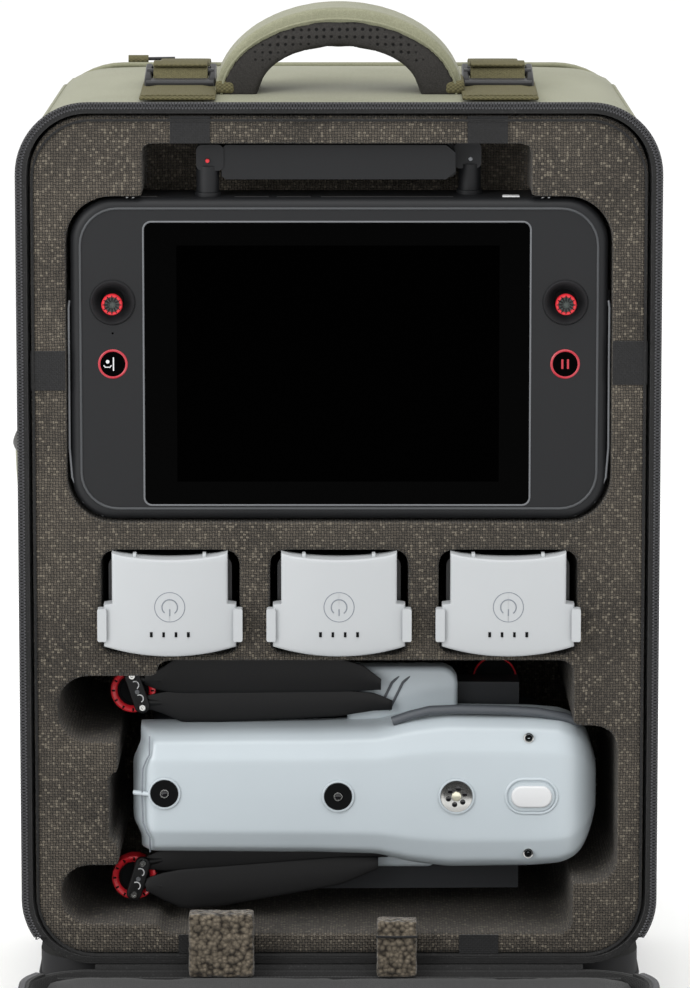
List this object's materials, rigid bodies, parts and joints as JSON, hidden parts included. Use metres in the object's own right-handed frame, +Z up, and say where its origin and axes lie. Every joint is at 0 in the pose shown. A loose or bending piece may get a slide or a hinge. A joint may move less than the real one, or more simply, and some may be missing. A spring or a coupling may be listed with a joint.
{
  "type": "drone carrying case",
  "caption": "Soft olive drone carrying case, upright with its lid open: cut foam holding a tablet controller, batteries and a folded drone.",
  "frame": {"origin": "centre of the base's underside, on the ground", "axes": "+Z up, -Y out of the open front, +X to the right seen from the front"},
  "size_m": [0.339, 0.681, 0.515],
  "materials": {
    "olive_cloth": "matte",
    "dark_cloth": "matte",
    "webbing": "matte",
    "foam_skin": "matte",
    "lid_foam": "matte",
    "moulded_base": "matte",
    "black_plastic": "matte",
    "zip_metal": "satin",
    "ctrl_plastic": "matte",
    "ctrl_rubber": "matte",
    "front_glass": "gloss",
    "screen": "gloss",
    "red_metal": "satin",
    "pack_plastic": "matte",
    "drone_plastic": "satin",
    "drone_dark": "matte",
    "blade_plastic": "matte",
    "lens": "gloss",
    "button_white": "matte"
  },
  "bodies": {
    "case": {"case_shell": "olive_cloth", "base_boot": "moulded_base", "inner_lining": "dark_cloth", "foam_base": "foam_skin", "foam_insert": "foam_skin", "elastic_tabs": "dark_cloth", "body_zip": "dark_cloth", "corner_piping": "olive_cloth", "hinge_strip": "dark_cloth", "side_pocket": "olive_cloth", "anchor_webbing": "webbing", "anchor_buckles": "black_plastic", "strap_webbing": "webbing", "shoulder_straps": "olive_cloth", "strap_adjusters": "black_plastic", "back_pads": "dark_cloth"},
    "handle": {"handle_pad": "olive_cloth", "handle_mesh": "dark_cloth"},
    "lid": {"lid_shell": "olive_cloth", "lid_lining": "dark_cloth", "lid_zip": "dark_cloth", "lid_panel": "dark_cloth", "lid_pad_left": "lid_foam", "lid_pad_right": "lid_foam"},
    "zip_left": {"zip_slider_left": "zip_metal"},
    "zip_right": {"zip_slider_right": "zip_metal"},
    "controller": {"controller_shell": "ctrl_plastic", "controller_glass": "front_glass", "controller_display": "screen", "controller_grips": "ctrl_rubber", "antenna_sockets": "ctrl_plastic", "antenna_rear": "ctrl_plastic"},
    "antenna": {"antenna_front": "ctrl_plastic"},
    "gimbal_l": {"gimbal_left": "ctrl_rubber"},
    "gimbal_r": {"gimbal_right": "ctrl_rubber"},
    "lever_l": {"stick_left": "red_metal"},
    "lever_r": {"stick_right": "red_metal"},
    "key_l": {"button_left": "ctrl_plastic"},
    "key_r": {"button_right": "ctrl_plastic"},
    "drone": {"drone_cover": "drone_plastic", "drone_hull": "drone_dark", "drone_nose": "drone_dark", "drone_arms": "drone_plastic", "drone_motors": "red_metal", "drone_rotors": "blade_plastic", "drone_sensors": "lens"},
    "drone_key": {"drone_button": "button_white"},
    "pack_1": {"battery_1": "pack_plastic"},
    "pack_key_1": {"battery_button_1": "pack_plastic"},
    "clip_l_1": {"latch_left_1": "pack_plastic"},
    "clip_r_1": {"latch_right_1": "pack_plastic"},
    "pack_2": {"battery_2": "pack_plastic"},
    "pack_key_2": {"battery_button_2": "pack_plastic"},
    "clip_l_2": {"latch_left_2": "pack_plastic"},
    "clip_r_2": {"latch_right_2": "pack_plastic"},
    "pack_3": {"battery_3": "pack_plastic"},
    "pack_key_3": {"battery_button_3": "pack_plastic"},
    "clip_l_3": {"latch_left_3": "pack_plastic"},
    "clip_r_3": {"latch_right_3": "pack_plastic"}
  },
  "joints": [
    {"name": "lid_fold", "type": "hinge", "parent": "case", "child": "lid", "pos_m": [0, -0.1025, 0.032], "axis": [1, 0, 0], "range_deg": [-90, 0]},
    {"name": "handle_flop", "type": "hinge", "parent": "case", "child": "handle", "pos_m": [0, -0.048, 0.4878], "axis": [1, 0, 0], "range_deg": [-60, 60]},
    {"name": "zip_left_run", "type": "slide", "parent": "lid", "child": "zip_left", "axis": [0, -1, 0], "range_m": [-0.08, 0.24]},
    {"name": "zip_right_run", "type": "slide", "parent": "lid", "child": "zip_right", "axis": [0, -1, 0], "range_m": [-0.08, 0.24]},
    {"name": "controller_lift", "type": "slide", "parent": "case", "child": "controller", "axis": [0, -1, 0], "range_m": [0, 0.12]},
    {"name": "antenna_swivel", "type": "hinge", "parent": "controller", "child": "antenna", "pos_m": [-0.06543, -0.0885, 0.42355], "axis": [0, 0, -1], "range_deg": [0, 90]},
    {"name": "stick_tip_left", "type": "hinge", "parent": "controller", "child": "gimbal_l", "pos_m": [-0.113, -0.0935, 0.3713], "axis": [1, 0, 0], "range_deg": [-18, 18], "stiffness_Nm_per_rad": 0.02},
    {"name": "stick_sway_left", "type": "hinge", "parent": "gimbal_l", "child": "lever_l", "pos_m": [-0.113, -0.0935, 0.3713], "axis": [0, 0, 1], "range_deg": [-18, 18], "stiffness_Nm_per_rad": 0.02},
    {"name": "button_press_left", "type": "slide", "parent": "controller", "child": "key_l", "axis": [0, 1, 0], "range_m": [0, 0.0007], "stiffness_N_per_m": 600},
    {"name": "stick_tip_right", "type": "hinge", "parent": "controller", "child": "gimbal_r", "pos_m": [0.113, -0.0935, 0.3713], "axis": [1, 0, 0], "range_deg": [-18, 18], "stiffness_Nm_per_rad": 0.02},
    {"name": "stick_sway_right", "type": "hinge", "parent": "gimbal_r", "child": "lever_r", "pos_m": [0.113, -0.0935, 0.3713], "axis": [0, 0, 1], "range_deg": [-18, 18], "stiffness_Nm_per_rad": 0.02},
    {"name": "button_press_right", "type": "slide", "parent": "controller", "child": "key_r", "axis": [0, 1, 0], "range_m": [0, 0.0007], "stiffness_N_per_m": 600},
    {"name": "battery_lift_1", "type": "slide", "parent": "case", "child": "pack_1", "axis": [0, -1, 0], "range_m": [0, 0.11]},
    {"name": "battery_button_press_1", "type": "slide", "parent": "pack_1", "child": "pack_key_1", "axis": [0, 1, 0], "range_m": [0, 0.0006], "stiffness_N_per_m": 600},
    {"name": "latch_squeeze_left_1", "type": "slide", "parent": "pack_1", "child": "clip_l_1", "axis": [1, 0, 0], "range_m": [0, 0.0012], "stiffness_N_per_m": 600},
    {"name": "latch_squeeze_right_1", "type": "slide", "parent": "pack_1", "child": "clip_r_1", "axis": [-1, 0, 0], "range_m": [0, 0.0012], "stiffness_N_per_m": 600},
    {"name": "battery_lift_2", "type": "slide", "parent": "case", "child": "pack_2", "axis": [0, -1, 0], "range_m": [0, 0.11]},
    {"name": "battery_button_press_2", "type": "slide", "parent": "pack_2", "child": "pack_key_2", "axis": [0, 1, 0], "range_m": [0, 0.0006], "stiffness_N_per_m": 600},
    {"name": "latch_squeeze_left_2", "type": "slide", "parent": "pack_2", "child": "clip_l_2", "axis": [1, 0, 0], "range_m": [0, 0.0012], "stiffness_N_per_m": 600},
    {"name": "latch_squeeze_right_2", "type": "slide", "parent": "pack_2", "child": "clip_r_2", "axis": [-1, 0, 0], "range_m": [0, 0.0012], "stiffness_N_per_m": 600},
    {"name": "battery_lift_3", "type": "slide", "parent": "case", "child": "pack_3", "axis": [0, -1, 0], "range_m": [0, 0.11]},
    {"name": "battery_button_press_3", "type": "slide", "parent": "pack_3", "child": "pack_key_3", "axis": [0, 1, 0], "range_m": [0, 0.0006], "stiffness_N_per_m": 600},
    {"name": "latch_squeeze_left_3", "type": "slide", "parent": "pack_3", "child": "clip_l_3", "axis": [1, 0, 0], "range_m": [0, 0.0012], "stiffness_N_per_m": 600},
    {"name": "latch_squeeze_right_3", "type": "slide", "parent": "pack_3", "child": "clip_r_3", "axis": [-1, 0, 0], "range_m": [0, 0.0012], "stiffness_N_per_m": 600},
    {"name": "drone_lift", "type": "slide", "parent": "case", "child": "drone", "axis": [0, -1, 0], "range_m": [0, 0.16]},
    {"name": "drone_button_press", "type": "slide", "parent": "drone", "child": "drone_key", "axis": [0, 1, 0], "range_m": [0, 0.001], "stiffness_N_per_m": 600}
  ]
}
